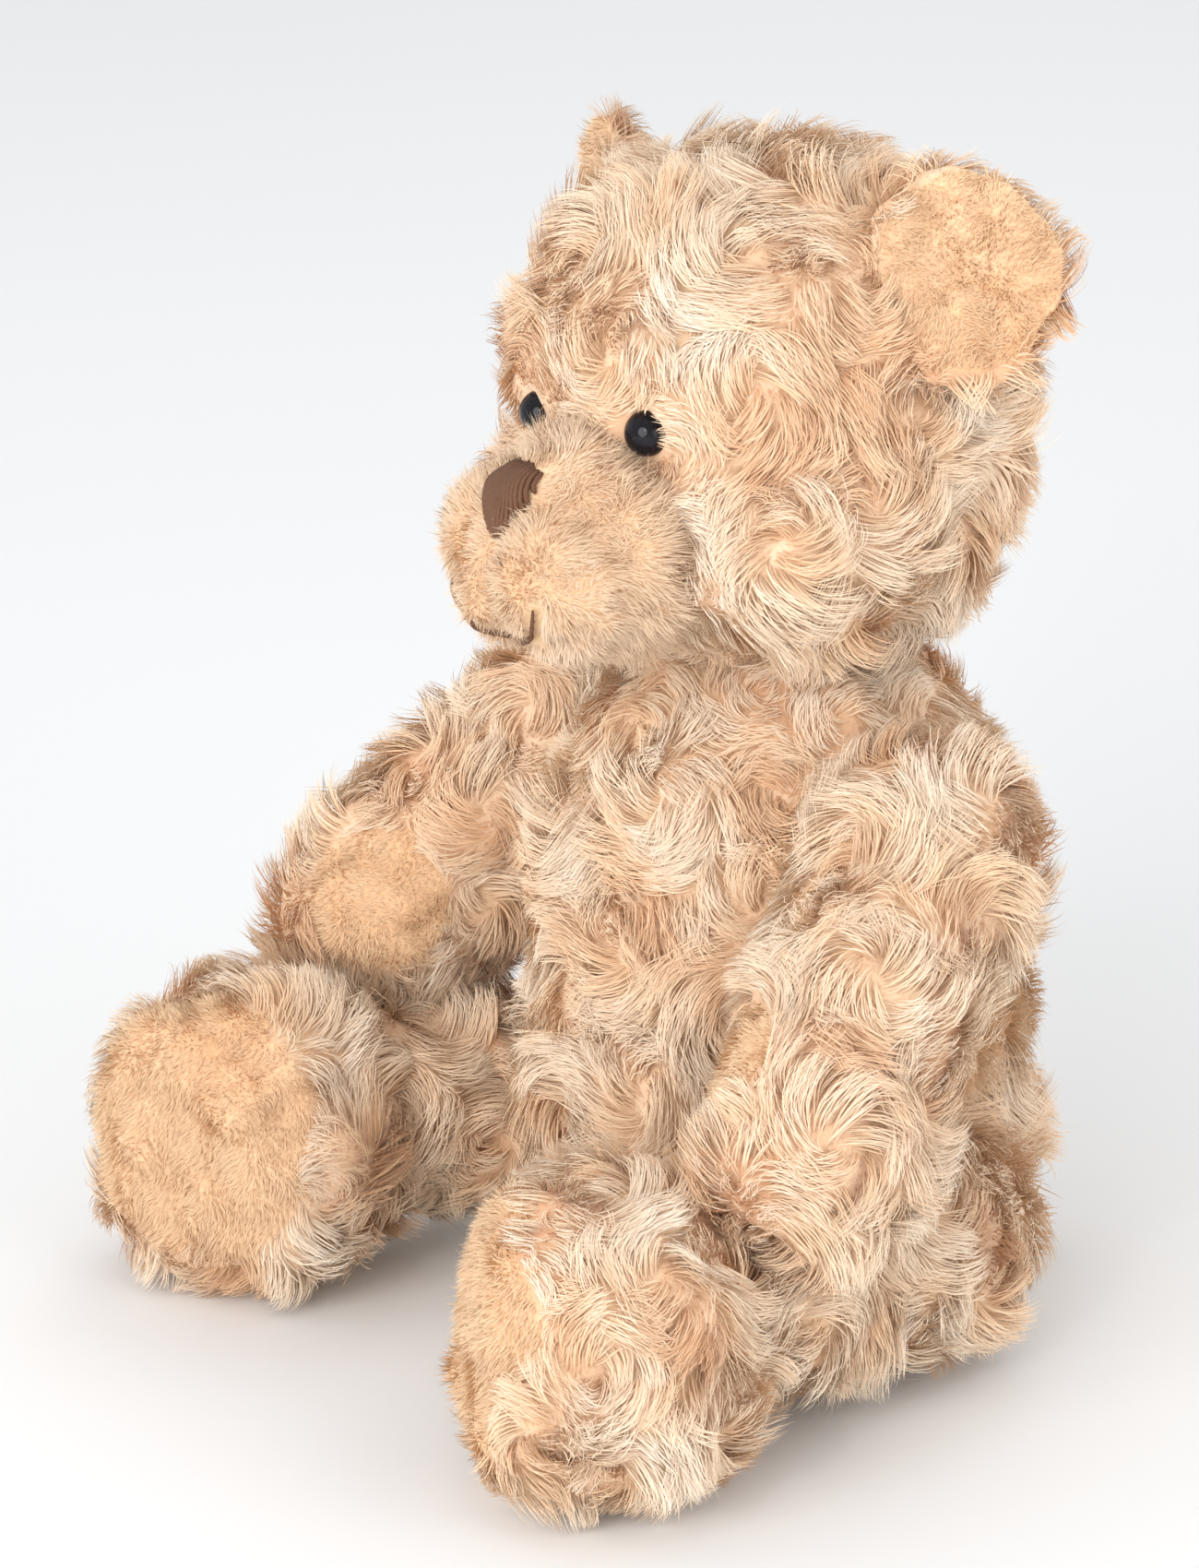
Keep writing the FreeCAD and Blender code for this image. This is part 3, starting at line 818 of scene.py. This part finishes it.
def embroidery(name, threads, node):
    """The threads as one piece of brown stitching that stands for a CAD node of the head."""
    verts, faces = [], []
    for one_verts, one_faces in threads:
        base = len(verts)
        verts += [tuple(v) for v in one_verts]
        faces += [tuple(i + base for i in f) for f in one_faces]
    mesh = bpy.data.meshes.new(name)
    mesh.from_pydata(verts, [], faces)
    smooth_shade(mesh)
    piece = add_object(name, mesh, BROWN)
    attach(piece, "head")
    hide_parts(node)


def make_nose(muzzle_mesh, left, forward, up, centre):
    """Upright satin stitches side by side over a padded rounded triangle."""
    tree = tree_of(muzzle_mesh)
    rng = np.random.default_rng(SEED + 80)
    stitches = []
    for i in range(NOSE_STITCHES):
        x = -NOSE_HALF_WIDTH + 2 * NOSE_HALF_WIDTH * (i + 0.5) / NOSE_STITCHES
        edge = abs(x) / NOSE_HALF_WIDTH
        high = NOSE_TOP - 0.0018 * edge ** 3 + rng.normal(scale=0.00012)
        tall = (NOSE_TOP - NOSE_BOTTOM) * (1 - edge ** 1.7) ** 0.72
        low = high - tall - 0.0012 + rng.normal(scale=0.00012)
        path = []
        for k in range(11):
            t = k / 10
            z = low + (high - low) * t
            hit = ray_to(tree, centre + left * x + up * z + forward * 0.03, -forward)
            if hit is not None:
                pad = (4 * t * (1 - t)) ** 0.5 * (1 - 0.7 * edge ** 3)
                path.append(hit[0] + forward * 0.0022 * pad + hit[1] * 0.0006)
        if len(path) > 3:
            stitches.append(thread(path, NOSE_THREAD, 0.35))
    embroidery("nose_stitches", stitches, "nose_embroidery")


def make_mouth(muzzle_mesh, left, forward, up, muzzle):
    """The embroidered smile: a flat middle, then a stroke up to each side. Returns points along it."""
    tree = tree_of(muzzle_mesh)
    rng = np.random.default_rng(SEED + 90)
    stroke = [(0.0032, -0.0092), (0.0078, -0.0066), (0.0120, -0.0020), (0.0150, 0.0035)]
    outline = [(-x, z) for x, z in reversed(stroke)] + [(0, -0.0096)] + stroke
    path = []
    steps = 56
    for k in range(steps):
        t = k / (steps - 1) * (len(outline) - 1)
        i = min(int(t), len(outline) - 2)
        f = t - i
        x = outline[i][0] * (1 - f) + outline[i + 1][0] * f
        z = outline[i][1] * (1 - f) + outline[i + 1][1] * f
        start = muzzle + left * x + up * z
        way = unit(forward - up * 0.5)
        hit = ray_to(tree, start + way * 0.05, -way)
        if hit is not None:
            path.append(hit[0] + hit[1] * 0.0011)
    path = np.array(path)
    stitches = []
    for shift in (-0.00028, 0.00028):
        moved = path + up * shift + rng.normal(scale=0.00005, size=path.shape)
        stitches.append(thread(moved, MOUTH_THREAD, 0.7))
    embroidery("mouth_stitches", stitches, "mouth_embroidery")
    return path


def outer_eye(side):
    """The middle of an eye's dome and its outward direction, from the washer behind it and its own points."""
    washer = middle(f"{side}_eye_washer")
    points = node_points(f"{side}_eye")
    rough = unit(points[np.linalg.norm(points - washer, axis=1).argmax()] - washer)
    heights = (points - washer) @ rough
    dome = points[heights > heights.max() - 0.004]
    out = unit(dome.mean(0) - washer)
    top = ((points - washer) @ out).max()
    return washer + out * (top - EYE_RADIUS), out


def make_eye(side):
    """A glossy dome with a slightly flattened face and a rim tucked into the plush."""
    centre, out = outer_eye(side)
    bm = bmesh.new()
    bmesh.ops.create_uvsphere(bm, u_segments=48, v_segments=32, radius=EYE_RADIUS)
    turned = Vector((0, 0, 1)).rotation_difference(Vector(out))
    for vert in bm.verts:
        if vert.co.z > 0:
            vert.co.z *= 0.94
        vert.co = turned @ vert.co + Vector(centre)
    mesh = bpy.data.meshes.new(f"{side}_eye_dome")
    bm.to_mesh(mesh)
    bm.free()
    smooth_shade(mesh)
    piece = add_object(f"{side}_eye_dome", mesh, EYE)
    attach(piece, "head")
    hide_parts(f"{side}_eye")


def make_ear(side, core, up):
    """A cupped ear, a little taller and wider than its CAD nodes, with a velour lining in front."""
    back, lining = f"{side}_ear_plush", f"{side}_ear_lining"
    cloud = node_points(back, lining)
    centre, way = flat_facing(back)
    if way[1] > 0:
        way = -way
    mesh = stuffed(f"{side}_ear", [cloud], voxel=0.0022, rounds=3)
    points, _ = mesh_points(mesh)
    off = points - centre
    height = off @ way
    radial = off - height[:, None] * way
    reach = np.linalg.norm(radial, axis=1)
    cup = EAR_CUP * (reach / EAR_REACH) ** 2 - EAR_DISH
    tall = unit(up - way * np.dot(up, way))
    wide = np.cross(way, tall)
    taller = tall * (radial @ tall)[:, None] * EAR_TALLER
    wider = wide * (radial @ wide)[:, None] * EAR_WIDER
    grown = radial + taller + wider
    points = centre + grown + way * (height + cup + EAR_LIFT)[:, None]
    mesh.vertices.foreach_set("co", points.ravel())
    mesh.update()

    def in_front(points):
        off = points - centre
        height = off @ way - EAR_LIFT
        reach = np.hypot((off @ tall) / (1 + EAR_TALLER), (off @ wide) / (1 + EAR_WIDER))
        return (height - EAR_CUP * (reach / EAR_REACH) ** 2 + EAR_DISH > 0.0012) & (reach < EAR_LINING_RADIUS)

    lining_mesh = part_of(mesh, f"{side}_ear_front", in_front)
    back_mesh = part_of(mesh, f"{side}_ear_back", lambda p: ~in_front(p))
    back_piece(f"{side}_ear_back", back_mesh, PLUSH_BACK, "head", [back])
    back_piece(f"{side}_ear_velour", lining_mesh, SHORT_BACK, "head", [lining])
    seed = 70 if side == "left" else 71
    out = tuple(unit(centre - core) * 0.8)
    curly_pile(f"{side}_ear_fur", back_mesh, "head", seed, comb=out, density=1.15, length=lambda at: 0.75)
    short_pile(f"{side}_ear_pile", lining_mesh, "head", seed + 10, comb=out)


# ---- the CAD nodes that stay ----------------------------------------------------------------------------

def finish_inner_nodes():
    finishes = {"filling": FILLING, "bag_cloth": BAG, "pellets": PELLETS, "joint_plastic": PLASTIC,
                "seam_thread": SEAM, "eye_gloss": EYE, "embroidery_thread": BROWN,
                "curly_plush": PLUSH_BACK, "short_pile": SHORT_BACK}
    for entry in frame["record"]["subparts"]:
        node = bpy.data.objects[entry["node"]]
        for slot in node.material_slots:
            slot.material = finishes[entry["material_slot"]]


# ---- studio ---------------------------------------------------------------------------------------------

AZIMUTH = math.radians(57)
ELEVATION = math.radians(18.5)
DISTANCE = 1.5
TARGET = Vector((-0.019, -0.032, 0.121))
LENS = 155.6


def make_studio():
    floor_mesh = bpy.data.meshes.new("studio_floor")
    floor_mesh.from_pydata([(-8, -8, 0), (8, -8, 0), (8, 8, 0), (-8, 8, 0)], [], [(0, 1, 2, 3)])
    floor = add_object("studio_floor", floor_mesh, floor_material())

    world = bpy.data.worlds.new("studio_light")
    world.use_nodes = True
    background = world.node_tree.nodes["Background"]
    background.inputs["Color"].default_value = (0.97, 0.985, 1.0, 1)
    background.inputs["Strength"].default_value = 0.84
    scene.world = world

    lights = [
        ("key", (0.75, -1.45, 0.65), 1.3, 19.0),
        ("fill", (1.50, 0.30, 0.55), 1.3, 6.5),
        ("back", (-0.60, 0.60, 1.50), 1.0, 3.0),
        ("glint", (0.95, -1.25, 0.95), 0.10, 1.6),
    ]
    for name, place, size, power in lights:
        data = bpy.data.lights.new(name, "AREA")
        data.shape = "DISK"
        data.size = size
        data.energy = power
        lamp = bpy.data.objects.new(name, data)
        lamp.location = place
        lamp.rotation_euler = (TARGET - lamp.location).to_track_quat("-Z", "Y").to_euler()
        root_collection.objects.link(lamp)

    camera_data = bpy.data.cameras.new("camera")
    camera_data.lens = LENS
    camera_data.sensor_width = 36
    camera = bpy.data.objects.new("camera", camera_data)
    away = Vector((math.sin(AZIMUTH) * math.cos(ELEVATION), -math.cos(AZIMUTH) * math.cos(ELEVATION),
                   math.sin(ELEVATION)))
    camera.location = TARGET + away * DISTANCE
    camera.rotation_euler = (TARGET - camera.location).to_track_quat("-Z", "Y").to_euler()
    root_collection.objects.link(camera)
    scene.camera = camera
    scene.view_settings.view_transform = "Standard"


make_studio()
make_torso()
for side_name in ("left", "right"):
    make_arm(side_name)
    make_leg(side_name)
make_head()
finish_inner_nodes()
